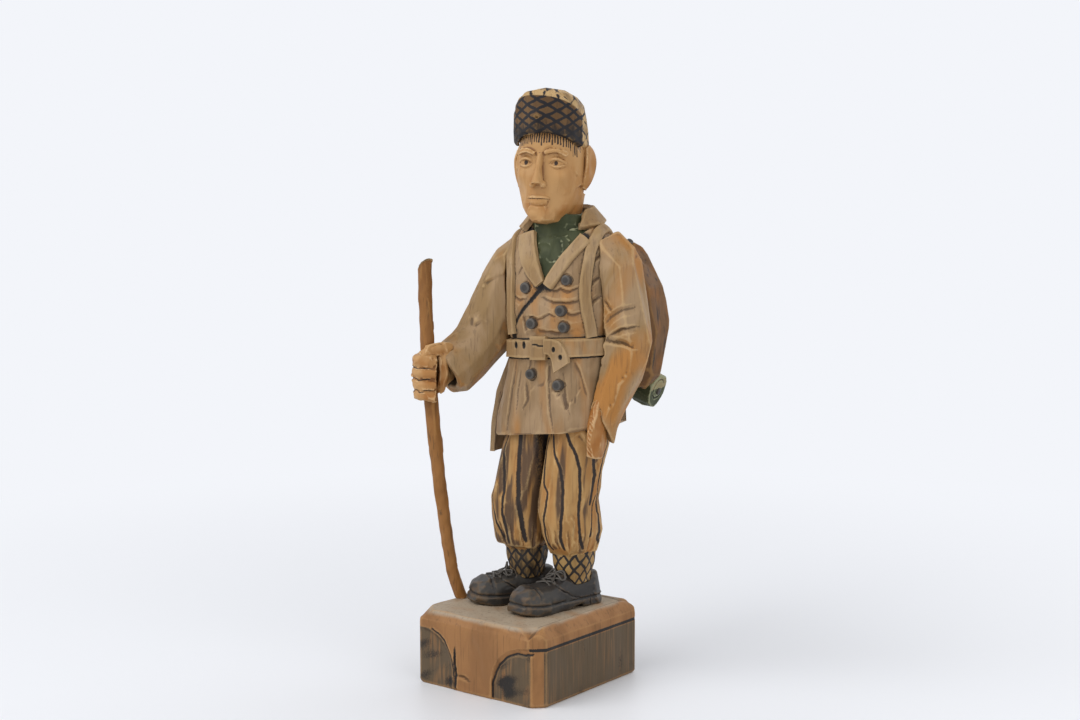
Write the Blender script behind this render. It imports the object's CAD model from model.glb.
# A knife-carved, stained hiker on its block base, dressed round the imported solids.
# Shapes are worked out in the figure's own millimetres and written out in the row's metres.
import math
import bmesh
import bpy
import numpy as np
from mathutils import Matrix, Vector
from mathutils.bvhtree import BVHTree


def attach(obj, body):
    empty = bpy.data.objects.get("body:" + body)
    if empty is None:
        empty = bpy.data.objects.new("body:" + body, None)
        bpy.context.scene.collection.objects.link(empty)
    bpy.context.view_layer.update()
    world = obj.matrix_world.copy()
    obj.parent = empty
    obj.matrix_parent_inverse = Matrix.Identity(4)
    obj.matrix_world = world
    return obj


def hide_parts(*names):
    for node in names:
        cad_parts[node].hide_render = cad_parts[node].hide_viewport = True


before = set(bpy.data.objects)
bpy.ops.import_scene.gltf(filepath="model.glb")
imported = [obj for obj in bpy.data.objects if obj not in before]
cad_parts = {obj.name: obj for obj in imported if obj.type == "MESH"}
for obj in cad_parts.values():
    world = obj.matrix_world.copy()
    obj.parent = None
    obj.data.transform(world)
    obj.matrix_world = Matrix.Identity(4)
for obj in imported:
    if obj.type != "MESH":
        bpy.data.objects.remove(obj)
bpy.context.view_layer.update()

FIGURE_PLACE = np.array([18.0, 18.0, 56.0])   # the figure's origin, on top of the base
FIGURE_TURN = math.radians(6)
BASE = {"width": 114.0, "depth": 122.0, "height": 56.0, "groove": 41.0, "bevel": 9.0}
SPLIT_X = -9.0            # the two trouser legs part here
BELT = {"low": 187.0, "high": 201.0, "rise": 0.05, "relief": 2.2}   # it rises to the figure's left
HEAD = {"place": np.array([-5.0, -10.0, 285.0]), "turn": math.radians(10), "lean": math.radians(2.5),
        "radius": 25.0, "face": 26.0}
UP = np.array([0.0, 0.0, 1.0])
BACK = np.array([0.0, 1.0, 0.0])
PLAIN = 1e9               # a cap step that leaves a cap without rings


# Forms

def unit(v):
    return v / np.maximum(np.linalg.norm(v, axis=-1, keepdims=True), 1e-9)


def turned_by(angle):
    """The matrix of a turn round the upright."""
    c, s = math.cos(angle), math.sin(angle)
    return np.array([[c, -s, 0], [s, c, 0], [0, 0, 1]])


ROW_TURN = turned_by(FIGURE_TURN)


class Form:
    """Points in figure millimetres, triangles that face outwards, and marks painted on the points."""

    def __init__(self, points, triangles):
        self.points = np.asarray(points, float)
        self.triangles = np.asarray(triangles, int)
        self.marks = {}

    def normals(self):
        a, b, c = (self.points[self.triangles[:, k]] for k in range(3))
        face = np.cross(b - a, c - a)
        total = np.zeros_like(self.points)
        for k in range(3):
            for axis in range(3):
                total[:, axis] += np.bincount(self.triangles[:, k], face[:, axis], len(total))
        return unit(total)

    def edges(self):
        n = len(self.points)
        t = self.triangles
        pairs = np.sort(np.concatenate([t[:, [0, 1]], t[:, [1, 2]], t[:, [2, 0]]]), axis=1)
        keys = np.unique(pairs[:, 0] * n + pairs[:, 1])
        return keys // n, keys % n

    def mark(self, name, amount):
        """Paints on top of what is there: the stronger of the two stays."""
        self.marks[name] = np.maximum(self.marks.get(name, np.zeros(len(self.points))), amount)

    def turned_out(self):
        a, b, c = (self.points[self.triangles[:, k]] for k in range(3))
        if np.einsum("ij,ij->", a, np.cross(b, c)) < 0:
            self.triangles = self.triangles[:, ::-1]
        return self


def together(forms):
    points = np.concatenate([f.points for f in forms])
    starts = np.cumsum([0] + [len(f.points) for f in forms[:-1]])
    return Form(points, np.concatenate([f.triangles + s for f, s in zip(forms, starts)]))


def evened_values(form, values, times):
    """Values on the form's points, each drawn towards the mean of its neighbours."""
    a, b = form.edges()
    n = len(form.points)
    count = np.maximum(np.bincount(a, minlength=n) + np.bincount(b, minlength=n), 1)
    rows = np.array(values, float).reshape(n, -1)
    for _ in range(times):
        around = [np.bincount(a, row[b], n) + np.bincount(b, row[a], n) for row in rows.T]
        rows += 0.5 * (np.stack(around, 1) / count[:, None] - rows)
    return rows.reshape(np.shape(values))


def relaxed(form, times):
    return evened_values(form, form.points, times)


def press(points, middle, radii, push):
    """Pushes the points round a place, less and less towards the rim."""
    far = (((points - np.array(middle, float)) / np.array(radii, float)) ** 2).sum(1)
    return points + np.exp(-far)[:, None] * np.array(push, float)


def along(stations, step, soften):
    """Even steps along the stations' first three columns, every column rounded off a little."""
    rows = np.asarray(stations, float)
    length = np.r_[0, np.cumsum(np.linalg.norm(np.diff(rows[:, :3], axis=0), axis=1))]
    places = np.linspace(0, length[-1], max(int(length[-1] / step), 2) + 1)
    fine = np.stack([np.interp(places, length, column) for column in rows.T], 1)
    for _ in range(int(2 * (soften / step) ** 2)):
        fine[1:-1] = (fine[:-2] + 2 * fine[1:-1] + fine[2:]) / 4
    return fine


def round_of(sides, blunt):
    """A round with flattened sides: the smaller blunt is, the squarer."""
    angle = (np.arange(sides) + 0.5) * 2 * math.pi / sides
    c, s = np.cos(angle), np.sin(angle)
    return np.sign(c) * np.abs(c) ** blunt, np.sign(s) * np.abs(s) ** blunt


def tower(cuts, step=0.8, soften=3.0, blunt=0.82):
    """Level cuts (x, y, z, left, right, front, back, rise) become rings of an upright form."""
    x, y, z, left, right, front, back, rise = along(cuts, step, soften).T[:, :, None]
    c, s = round_of(int(2 * math.pi * max(left.max(), right.max()) / step), blunt)
    px = c * np.where(c > 0, left, right)
    py = s * np.where(s > 0, back, front)
    return np.stack([x + px, y + py, z + rise * px], 2)


def limb(stations, step=0.8, soften=3.0, reference=UP, blunt=0.92):
    """Stations (x, y, z, half width, half height) become rings round a bent path."""
    rows = along(stations, step, soften)
    place = rows[:, :3]
    ahead = unit(np.gradient(place, axis=0))
    across = unit(np.cross(ahead, reference))
    rise = np.cross(across, ahead)
    c, s = round_of(int(2 * math.pi * rows[:, 3:].max() / step), blunt)
    return (place[:, None] + across[:, None] * (rows[:, 3, None] * c)[..., None]
            + rise[:, None] * (rows[:, 4, None] * s)[..., None])


def skin(rings, cap_step=1.5):
    """Rings that go round become a closed form with a flat cap on each end, itself made of smaller rings."""
    rows = [rings]
    for at_start in (True, False):
        edge = rings[0] if at_start else rings[-1]
        middle = edge.mean(0)
        reach = np.linalg.norm(edge - middle, axis=1).max()
        shares = np.linspace(0, 1, max(int(reach / cap_step), 1) + 1)[1:-1]
        caps = [middle + (edge - middle) * share for share in (shares if at_start else shares[::-1])]
        if caps and at_start:
            rows.insert(0, np.array(caps))
        elif caps:
            rows.append(np.array(caps))
    grid = np.concatenate(rows)
    r, s = grid.shape[:2]
    points = np.concatenate([grid.reshape(-1, 3), grid[0].mean(0)[None], grid[-1].mean(0)[None]])
    k, j = np.meshgrid(np.arange(r - 1), np.arange(s), indexing="ij")
    a, b = (k * s + j).ravel(), (k * s + (j + 1) % s).ravel()
    side = np.arange(s)
    fans = [np.stack([np.full(s, r * s), (side + 1) % s, side], 1),
            np.stack([np.full(s, r * s + 1), (r - 1) * s + side, (r - 1) * s + (side + 1) % s], 1)]
    walls = [np.stack([a, b, b + s], 1), np.stack([a, b + s, a + s], 1)]
    return Form(points, np.concatenate(walls + fans)).turned_out()


def ball(middle, radii):
    tilt = np.linspace(0.15, math.pi - 0.15, 18)   # the caps close the rest
    turn = np.arange(28) * 2 * math.pi / 28
    rings = [np.outer(np.sin(tilt), np.cos(turn)), np.outer(np.sin(tilt), np.sin(turn)),
             np.outer(np.cos(tilt), np.ones(28))]
    return skin(np.array(middle, float) + np.stack(rings, 2) * np.array(radii, float), PLAIN)


def plate(grid, thick, inward):
    """An open grid of points becomes a closed plate, with its second face the given way in."""
    other = grid + unit(np.asarray(inward, float)) * thick
    return skin(np.concatenate([grid, other[:, ::-1]], axis=1), PLAIN)


def to_row(points):
    return (points @ ROW_TURN.T + FIGURE_PLACE) / 1000


def to_figure(points):
    return (points * 1000 - FIGURE_PLACE) @ ROW_TURN


def tree_of(form):
    """The form's faces, ready to be asked for their nearest or first met place."""
    return BVHTree.FromPolygons(form.points.tolist(), form.triangles.tolist())


def mesh_of(form, name):
    mesh = bpy.data.meshes.new(name)
    count = len(form.triangles)
    mesh.vertices.add(len(form.points))
    mesh.vertices.foreach_set("co", to_row(form.points).astype(np.float32).ravel())
    mesh.loops.add(3 * count)
    mesh.loops.foreach_set("vertex_index", form.triangles.astype(np.int32).ravel())
    mesh.polygons.add(count)
    mesh.polygons.foreach_set("loop_start", np.arange(0, 3 * count, 3, dtype=np.int32))
    mesh.update(calc_edges=True)
    mesh.validate()
    return mesh


def form_of(mesh):
    mesh.calc_loop_triangles()
    points = np.zeros(3 * len(mesh.vertices), np.float32)
    mesh.vertices.foreach_get("co", points)
    triangles = np.zeros(3 * len(mesh.loop_triangles), np.int32)
    mesh.loop_triangles.foreach_get("vertices", triangles)
    return Form(to_figure(points.reshape(-1, 3).astype(float)), triangles.reshape(-1, 3))


def settled(work):
    """The object with its modifiers worked out, as a form; the object itself is removed."""
    bpy.context.scene.collection.objects.link(work)
    bpy.context.view_layer.update()
    graph = bpy.context.evaluated_depsgraph_get()
    mesh = bpy.data.meshes.new_from_object(work.evaluated_get(graph))
    form = form_of(mesh)
    bpy.data.objects.remove(work)
    return form


def evened(form, size):
    """The form's outside again, in even faces of about this size."""
    work = bpy.data.objects.new("work", mesh_of(form, "work"))
    even = work.modifiers.new("even", "REMESH")
    even.mode = "VOXEL"
    even.voxel_size = size / 1000
    return settled(work)


def from_solid(name, size, soften=4, grow=0.5):
    """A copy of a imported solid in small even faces, its straight edges rounded as a blade leaves them."""
    form = evened(merged_solid(name), size)
    form.points = relaxed(form, soften)
    form.points += form.normals() * grow
    return form


def merged_solid(name):
    work = bmesh.new()
    work.from_mesh(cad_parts[name].data)
    bmesh.ops.remove_doubles(work, verts=work.verts, dist=2e-6)
    mesh = bpy.data.meshes.new("merged")
    work.to_mesh(mesh)
    work.free()
    return form_of(mesh)


# Knife work

MOST_TRIES = 5000     # places tried for a facet's middle
SAMPLE = 12000        # points that a facet's lie is worked out from
BATCH = 8000          # points cut at a time
RIVALS = 8            # facets that may cut a point
ALIKE = 0.6           # how nearly a point has to face the way of a facet that cuts it
NO_CUT = 9.0          # stands for a facet that doesn't cut a point


def whittle(form, size, stretch, bite, seed, grain=UP, tilt=0.05, where=None, ease=2):
    """Cuts the form into flat knife facets about this wide, longer along the grain. The bite is
    how far they may go in or out, and where is how much of it each point takes."""
    rng = np.random.default_rng(seed)
    p, n = form.points, form.normals()
    q = p + (1 / stretch - 1) * (p @ unit(grain))[:, None] * unit(grain)
    picks = np.empty((0, 3))
    chosen = []
    for k in rng.permutation(len(q))[:MOST_TRIES]:
        if not len(picks) or np.linalg.norm(picks - q[k], axis=1).min() > size * rng.uniform(0.7, 1.15):
            picks = np.vstack([picks, q[k]])
            chosen.append(k)
    middles, facings = [], []
    every = slice(None, None, len(p) // SAMPLE + 1)
    ps, ns, qs = p[every], n[every], q[every]
    for k in chosen:
        near = np.exp(-(((qs - q[k]) ** 2).sum(1)) / (0.4 * size) ** 2) * (ns @ n[k] > 0.3) + 1e-12
        middles.append(near @ ps / near.sum())
        facings.append(near @ ns)
    facings = unit(unit(np.array(facings)) + rng.normal(0, tilt, (len(chosen), 3)))
    middles = np.array(middles) - facings * rng.uniform(0, 0.3 * bite, (len(chosen), 1))
    depth = np.zeros(len(p))
    near_count = min(RIVALS, len(chosen))
    for start in range(0, len(p), BATCH):
        part = slice(start, start + BATCH)
        far = ((q[part, None] - picks[None]) ** 2).sum(2)
        near = np.argpartition(far, near_count - 1, axis=1)[:, :near_count]
        facing = np.einsum("ij,ikj->ik", n[part], facings[near])
        reach = np.einsum("ikj,ikj->ik", middles[near] - p[part, None], facings[near])
        reach = np.where(facing > ALIKE, reach / np.maximum(facing, ALIKE), NO_CUT)
        stray = np.sqrt(np.take_along_axis(far, near, 1)) / size
        depth[part] = (reach + 2 * bite * np.clip(stray - 0.85, 0, None) ** 2).min(1)
    depth = evened_values(form, np.clip(np.where(depth > NO_CUT - 1, 0, depth), -bite, bite), ease)
    if where is not None:
        depth *= where
    form.points = p + n * depth[:, None]


def laid_line(form, route):
    """The route in even steps, each laid on the nearest point of the form, and how the form faces there."""
    rows = along(route, 0.7, 0)
    search = 12
    low, high = rows.min(0) - search, rows.max(0) + search
    close = np.where(np.all((form.points > low) & (form.points < high), axis=1))[0]
    nearest = close[[np.argmin(((form.points[close] - row) ** 2).sum(1)) for row in rows]]
    line = form.points[nearest]
    for _ in range(3):
        line[1:-1] = (line[:-2] + 2 * line[1:-1] + line[2:]) / 4
    return line, form.normals()[nearest]


def score(form, route, deep, widths=(1.0, 1.0), burn=0.0, burn_width=1.2, taper=0.5):
    """A knife cut along a route. Going along it, widths are to its left and right. It fades out at its ends
    unless taper is 0, and burn is how dark it is."""
    line, out = laid_line(form, route)
    side = unit(np.cross(unit(np.gradient(line, axis=0)), out))
    reach = max(*widths, burn_width) + 0.5
    p = form.points
    inside = np.all((p > line.min(0) - reach) & (p < line.max(0) + reach), axis=1)
    picks = np.where(inside)[0]
    gap = p[picks, None] - line[None]
    far = np.sqrt((gap ** 2).sum(2))
    j = far.argmin(1)
    rows = np.arange(len(picks))
    far, gap = far[rows, j], gap[rows, j]
    on_right = np.einsum("ij,ij->i", gap, side[j]) > 0
    wide = np.where(on_right, widths[1], widths[0])
    ends = np.sin(math.pi * ((j + 0.5) / len(line))) ** taper
    cut = np.clip(1 - far / wide, 0, 1) * ends * deep
    form.points[picks] -= form.normals()[picks] * cut[:, None]
    if burn:
        amount = np.zeros(len(p))
        amount[picks] = np.clip(1.25 - far / burn_width, 0, 1) * burn * np.clip(ends * 1.4, 0, 1)
        form.mark("burn", amount)


def pit(form, place, radii, deep):
    """An oval hole bored into a face that looks forward; radii are across and up."""
    gap = form.points - np.asarray(place, float)
    far = np.sqrt((gap[:, 0] / radii[0]) ** 2 + (gap[:, 2] / radii[1]) ** 2)
    near = (np.abs(gap[:, 1]) < 6) & (form.normals()[:, 1] < 0.2)
    form.points[:, 1] += deep * np.clip(1.6 - 1.6 * far, 0, 1) * near
    form.mark("burn", np.clip(1.5 - far, 0, 1) * 0.9 * near)


def edge_marks(form):
    """Marks outer edges, where stain wears off, and hollows, where it gathers."""
    lift = np.einsum("ij,ij->i", form.points - relaxed(form, 6), form.normals())
    form.mark("crest", np.clip(lift / 0.26 - 0.12, 0, 1))
    form.mark("hollow", np.clip(-lift / 0.2 - 0.1, 0, 1))


def wander(points, scale, seed):
    """A slow, smooth, repeatable wave, mostly between -1 and 1."""
    rng = np.random.default_rng(seed)
    waves = rng.normal(0, 1, (5, 3)) / scale
    return np.sin(points @ waves.T * 2 * math.pi + rng.uniform(0, 7, 5)).mean(1) * 1.6


def streaked(points, scale, seed):
    """The same, drawn out along the upright grain."""
    return wander(points * np.array([1, 1, 0.28]), scale, seed)


def angle_round(local):
    """How far round the upright each point lies, from the front."""
    return np.arctan2(local[:, 0], -local[:, 1])


def lattice(local, radius, width, height, line, waver):
    """Burnt diamonds round an upright form; line is the share of a diamond that is burnt."""
    across = angle_round(local) * radius
    amount = np.zeros(len(local))
    for slope in (-1, 1):
        cell = (across / width + slope * local[:, 2] / height + waver) % 1
        amount = np.maximum(amount, np.clip(1.35 - np.abs(cell - 0.5) * 2 / line, 0, 1))
    return amount


# Finishes

def colour(code):
    parts = [int(code[k:k + 2], 16) / 255 for k in (1, 3, 5)]
    return (*[part / 12.92 if part <= 0.04045 else ((part + 0.055) / 1.055) ** 2.4 for part in parts], 1.0)


def add_node(tree, kind, inputs=(), **settings):
    item = tree.nodes.new(kind)
    for name, value in settings.items():
        setattr(item, name, value)
    for name, value in dict(inputs).items():
        if isinstance(value, bpy.types.NodeSocket):
            tree.links.new(value, item.inputs[name])
        else:
            item.inputs[name].default_value = value
    return item


def noise_on(tree, place, stretch, detail=3.0, warp=0.0):
    mapped = add_node(tree, "ShaderNodeMapping", {"Vector": place, "Scale": stretch})
    noise = add_node(tree, "ShaderNodeTexNoise", {
        "Vector": mapped.outputs[0], "Scale": 1.0, "Detail": detail, "Distortion": warp})
    return noise.outputs["Fac"]


def stretch_to(tree, value, low, high, out_low=0.0, out_high=1.0):
    item = add_node(tree, "ShaderNodeMapRange", {
        "Value": value, "From Min": low, "From Max": high, "To Min": out_low, "To Max": out_high},
        interpolation_type="SMOOTHSTEP")
    return item.outputs["Result"]


def math_of(tree, a, b, operation="ADD"):
    return add_node(tree, "ShaderNodeMath", {0: a, 1: b}, operation=operation).outputs[0]


def mixed(tree, share, first, second):
    return add_node(tree, "ShaderNodeMix", {0: share, 6: first, 7: second}, data_type="RGBA").outputs[2]


def mark_value(tree, name):
    return add_node(tree, "ShaderNodeAttribute", attribute_name=name).outputs["Fac"]


def broken_mark(tree, name, noise, strength=1.0):
    """A mark whose rim is broken up by a noise."""
    ragged = math_of(tree, math_of(tree, noise, -0.5), strength, "MULTIPLY")
    return math_of(tree, mark_value(tree, name), ragged)


def stained_wood(name, main, second, deep, bare, fresh="#a87c48", char="#211d1a", soot="#4b4234", wear=0.5,
                 grain=0.3, rough=(0.55, 0.75), dirt=0.6, bump=0.25):
    """Wood in two tones of stain, worn to bare wood on its edges, darker in its hollows, and with its marks:
    fresh cuts, soot and burnt lines."""
    material = bpy.data.materials.new(name)
    material.use_nodes = True
    tree = material.node_tree
    shader = tree.nodes["Principled BSDF"]
    place = add_node(tree, "ShaderNodeTexCoord").outputs["Object"]
    patches = noise_on(tree, place, (55, 55, 24), 4.0, 0.6)
    streaks = noise_on(tree, place, (520, 520, 26), 4.0, 0.3)
    specks = noise_on(tree, place, (900, 900, 700), 2.0)
    tone = mixed(tree, stretch_to(tree, patches, 0.38, 0.62), colour(main), colour(second))
    tone = mixed(tree, stretch_to(tree, broken_mark(tree, "fresh", patches), 0.1, 1.0), tone, colour(fresh))
    sooted = math_of(tree, mark_value(tree, "soot"), 0.02, "GREATER_THAN")
    soot_share = math_of(tree, broken_mark(tree, "soot", streaks, 1.6), sooted, "MULTIPLY")
    tone = mixed(tree, stretch_to(tree, soot_share, 0.1, 0.9), tone, colour(soot))
    lines = stretch_to(tree, streaks, 0.52, 0.72, 0.0, grain)
    tone = mixed(tree, lines, tone, colour(deep))
    unevenness = math_of(tree, math_of(tree, patches, specks), 0.5, "MULTIPLY")
    edge = math_of(tree, mark_value(tree, "crest"), unevenness)
    tone = mixed(tree, stretch_to(tree, edge, 0.6, 1.3, 0.0, wear), tone, colour(bare))
    hollow = broken_mark(tree, "hollow", patches)
    tone = mixed(tree, stretch_to(tree, hollow, 0.2, 0.9, 0.0, dirt), tone, colour(deep))
    burnt = broken_mark(tree, "burn", specks, 0.5)
    tone = mixed(tree, stretch_to(tree, burnt, 0.3, 0.7), tone, colour(char))
    tree.links.new(tone, shader.inputs["Base Color"])
    tree.links.new(stretch_to(tree, patches, 0.3, 0.7, *rough), shader.inputs["Roughness"])
    relief = math_of(tree, streaks, math_of(tree, specks, 0.4, "MULTIPLY"))
    bumps = add_node(tree, "ShaderNodeBump", {"Height": relief, "Strength": bump, "Distance": 0.0004})
    tree.links.new(bumps.outputs[0], shader.inputs["Normal"])
    shader.inputs["Specular IOR Level"].default_value = 0.3
    return material


COAT = stained_wood("coat_stain", "#9c8161", "#8a7051", "#42322a", "#c0a279", fresh="#a87640", wear=0.4)
SLEEVE = stained_wood("sleeve_stain", "#a08462", "#91754f", "#443428", "#c4a476", fresh="#a67238", wear=0.45)
STRAP = stained_wood("strap_stain", "#9d8260", "#8d704b", "#40322a", "#bd9f72", fresh="#a07342", wear=0.28)
TROUSERS = stained_wood("trouser_stain", "#b08a56", "#9c7545", "#533823", "#c9a873", fresh="#a06d36",
                        char="#2a221e", soot="#5a4430")
SOCKS = stained_wood("sock_stain", "#a1804e", "#8b6c40", "#3a2f24", "#b79a68", char="#262220", soot="#473b2c")
SHOES = stained_wood("shoe_stain", "#2e2b29", "#3a3733", "#131111", "#66543f", fresh="#56432f", wear=0.5,
                     grain=0.15, rough=(0.36, 0.52), bump=0.15)
SKIN = stained_wood("bare_wood", "#b58b59", "#a97b48", "#6f4523", "#d3b284", fresh="#965f27", char="#33251c",
                    wear=0.6, grain=0.14, rough=(0.5, 0.62), dirt=0.8, bump=0.12)
CAP = stained_wood("cap_stain", "#6a4e2d", "#594025", "#2a1f16", "#9a7849", fresh="#bd9d6d", char="#1b191c",
                   soot="#2c241d", wear=0.4)
GREEN = stained_wood("green_paint", "#3f4427", "#333922", "#1a1e13", "#8d8f70", fresh="#8d7f5a", wear=0.9,
                     grain=0.2)
SACK = stained_wood("sack_stain", "#6b4a28", "#5c3f22", "#2b1e14", "#96703f", fresh="#80511f", soot="#2c2119",
                    grain=0.5)
BASE_WOOD = stained_wood("base_wood", "#976b40", "#875f3a", "#42311f", "#b78c5a", fresh="#a3937e",
                         char="#231f1c", soot="#5a4b38", wear=0.4, grain=0.35)
STICK = stained_wood("stick_wood", "#8d5f2e", "#7b5127", "#322213", "#a87a43", fresh="#b3956a", wear=0.4,
                     grain=0.5)
PEG = stained_wood("black_peg", "#383532", "#2b2927", "#161414", "#68625b", wear=0.4, grain=0.1,
                   rough=(0.45, 0.6))
DOWEL = stained_wood("dowel_wood", "#d8bd8c", "#cfae7a", "#9a7748", "#e6cfa4", wear=0.2, grain=0.2)


def finished(form, name, material, nodes=(), sharp=50):
    """Makes the form a piece of the scene that stands for the named solids."""
    edge_marks(form)
    mesh = mesh_of(form, name)
    for mark in ("burn", "crest", "hollow", "fresh", "soot"):
        values = form.marks.get(mark, np.zeros(len(form.points))).astype(np.float32)
        mesh.attributes.new(mark, "FLOAT", "POINT").data.foreach_set("value", values)
    mesh.polygons.foreach_set("use_smooth", np.ones(len(mesh.polygons), bool))
    mesh.set_sharp_from_angle(angle=math.radians(sharp))
    mesh.materials.append(material)
    piece = bpy.data.objects.new(name, mesh)
    bpy.context.scene.collection.objects.link(piece)
    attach(piece, "root")
    if nodes:
        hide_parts(*nodes)


def carved(form, solid, material, sharp=50):
    """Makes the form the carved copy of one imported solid."""
    finished(form, f"{solid}_carved", material, [solid], sharp)


# Base block

LEFT_ARCH = [(-68.5, -72, -13.5), (-62, -73, -16), (-56.5, -73.5, -20), (-50.5, -74, -31),
             (-47.5, -74.5, -41), (-46, -74.5, -54.5)]
RIGHT_ARCH = [(25, -80, -17.5), (10, -79, -19), (1.5, -78, -22.5), (-6.5, -77.5, -31.5), (-11, -77, -42.5),
              (-11.5, -77, -54.5)]
BASE_CRACK = [(-46, -74.5, -22), (-47, -74.5, -33), (-45, -74.5, -43.5), (-46, -74.5, -53.5)]


def under_arch(points, arch, side):
    """How far inside an arch's edge each point lies; its panel is on the given side of the edge."""
    x, _, z = np.array(arch).T
    edge = np.interp(-points[:, 2], -z, x)
    return (points[:, 0] - edge) * side * (points[:, 2] < z[0])


def base_block():
    form = from_solid("base_block", 1.0, 2, 0.3)
    uncut = form.points.copy()
    place = to_row(uncut) * 1000
    x, y, z = place.T
    half_width, half_depth, top = BASE["width"] / 2, BASE["depth"] / 2, BASE["height"]
    slope = np.maximum(x - half_width, y - half_depth) / BASE["bevel"] + 1
    form.points[:, 2] += 3.2 * np.sin(math.pi * np.clip(slope, 0, 1)) * (z > top - 8)
    on_top = np.clip((z - (top - 10)) / 5, 0, 1)
    whittle(form, 22, 1.2, 0.7, 11, grain=(0.7, 0.7, 0), tilt=0.02, where=on_top, ease=6)
    form.points[:, 2] = np.maximum(form.points[:, 2], -FIGURE_PLACE[2])
    front = (y < 3 - half_depth) * (x < half_width - 8)
    panel = np.maximum(under_arch(uncut, LEFT_ARCH, -1), under_arch(uncut, RIGHT_ARCH, 1))
    panel = front * np.clip(panel / 1.5, 0, 1)
    below = np.clip((BASE["groove"] - z) / 1.5, 0, 1)
    side = below * ((x > half_width - 1.2) | (y > half_depth - 1.5) | (x < 1.5 - half_width))
    form.mark("soot", panel * np.clip(0.9 + 0.3 * wander(place, 22, 5), 0.65, 1))
    form.mark("soot", side * np.clip(0.9 + 0.14 * streaked(place, 26, 3), 0.7, 1))
    clouds = 0.34 + 0.35 * wander(place, 30, 6) + 0.2 * streaked(place, 16, 4)
    form.mark("burn", panel * np.clip(clouds, 0, 0.7))
    clouds = 0.12 + 0.2 * wander(place, 44, 16) + 0.2 * streaked(place, 16, 7)
    form.mark("burn", side * np.clip(clouds, 0, 0.5))
    groove = np.exp(-((z - BASE["groove"] - 0.8) / 1.3) ** 4)
    form.mark("burn", groove * (x > half_width - BASE["bevel"]) * 0.95)
    form.mark("fresh", np.clip((z - (top - 4.5)) / 3.5, 0, 1) * (0.95 + 0.25 * wander(place, 40, 8)))
    for route in (LEFT_ARCH, RIGHT_ARCH):
        score(form, route, 1.0, (1.2, 1.6), 0.85, 1.1, taper=0)
    score(form, BASE_CRACK, 1.6, (1.2, 1.0), 1.0, 1.5, taper=0.6)
    score(form, [(-43.5, -75, -44), (-37.5, -75.5, -44.5), (-33, -76, -46.5)], 1.5, (2.2, 1.2), 0.3, 0.7)
    carved(form, "base_block", BASE_WOOD, sharp=28)


# Feet

# Where each ankle stands, how many degrees the toe points out, and how far ahead of the ankle it ends
FEET = {"left": {"ankle": (9.0, 2.0), "heading": 17.0, "toe": 55.0},
        "right": {"ankle": (-31.0, 0.0), "heading": 34.0, "toe": 44.0}}
TONGUE_TOP = 25.5   # the leather under the laces counts as no higher than this


def foot_axes(side):
    """The ankle, the way the toe points and the way to the figure's left."""
    foot = FEET[side]
    turn = math.radians(foot["heading"])
    toe = np.array([-math.sin(turn), -math.cos(turn), 0])
    return np.array([*foot["ankle"], 0]), toe, np.array([math.cos(turn), -math.sin(turn), 0])


def on_foot(side, places):
    """Places given as ahead of the ankle, to the figure's left, and up."""
    ankle, toe, across = foot_axes(side)
    return [tuple(ankle + toe * u + across * v + UP * z) for u, v, z in places]


def shoe(side):
    form = from_solid(f"{side}_shoe", 0.8, 3)
    whittle(form, 8, 1.6, 0.6, 21, grain=(0.3, -1, 0))
    ankle, toe, _ = foot_axes(side)
    ahead = (form.points - ankle) @ toe
    z = form.points[:, 2]
    sideways = np.clip(1.4 - 1.6 * np.abs(form.normals()[:, 2]), 0, 1)
    length = FEET[side]["toe"]
    welt = 6.5 + 2.0 * np.clip(ahead / length, 0, 1) ** 2
    form.points -= form.normals() * (np.exp(-((z - welt) / 0.9) ** 2) * 1.1 * sideways)[:, None]
    form.mark("burn", np.exp(-((z - welt) / 0.7) ** 2) * sideways * 0.7)
    for v in (-1, 1):
        seam = on_foot(side, [(26, 5 * v, 24), (24, 12 * v, 17), (14, 15 * v, 11), (4, 16 * v, 7)])
        score(form, seam, 1.0, (0.8, 0.8), 0.8, 0.7, taper=0.2)
        score(form, on_foot(side, [(-6, 15 * v, 8), (-6, 15 * v, 1)]), 1.0, (0.8, 0.8), 0.8, 0.7, taper=0)
    score(form, on_foot(side, [(length - 8, -16, 12), (length - 12, 0, 19), (length - 10, 16, 12)]),
          0.9, (2.5, 0.8), taper=0.3)
    worn = np.clip(0.3 + wander(form.points, 9, 6), 0, 0.7)
    form.mark("fresh", np.clip((ahead - length + 14) / 12, 0, 1) * worn)
    form.mark("fresh", np.clip(0.7 - np.abs(z - 4) / 4, 0, 1) * (ahead < 2) * 0.9)
    carved(form, f"{side}_shoe", SHOES)
    laces(side, tree_of(form))


def laces(side, top):
    """Cords crossed over the front of a shoe, with a small bow; heights are above the leather."""
    routes = []
    for u in (16, 21.5, 27):
        for v in (-1, 1):
            routes.append([(u - 2, -7.5 * v, 0.2), (u, -3 * v, 1.3), (u + 2, 3 * v, 0.9),
                           (u + 3.5, 7.5 * v, 0.2)])
    for v in (-1, 1):
        routes.append([(18, 0, 2), (14.5, 5 * v, 3), (17, 10 * v, 2.4), (20.5, 9 * v, 1.8), (18.5, 0, 2)])
        routes.append([(18.5, 0, 2), (22, 3 * v, 2.0), (27, 5.5 * v, 1.4)])
    laid = []
    for route in routes:
        row = []
        for x, y, lift in on_foot(side, along(route, 1.5, 1.0)):
            spot = top.ray_cast(Vector((x, y, 60)), -Vector(UP))[0]
            row.append((x, y, min(spot.z, TONGUE_TOP) + lift))
        laid.append(row)
    set_cords(f"{side}_laces", laid, 0.75, PEG, CORDS)


SOCK_RADIUS = 15


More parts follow.
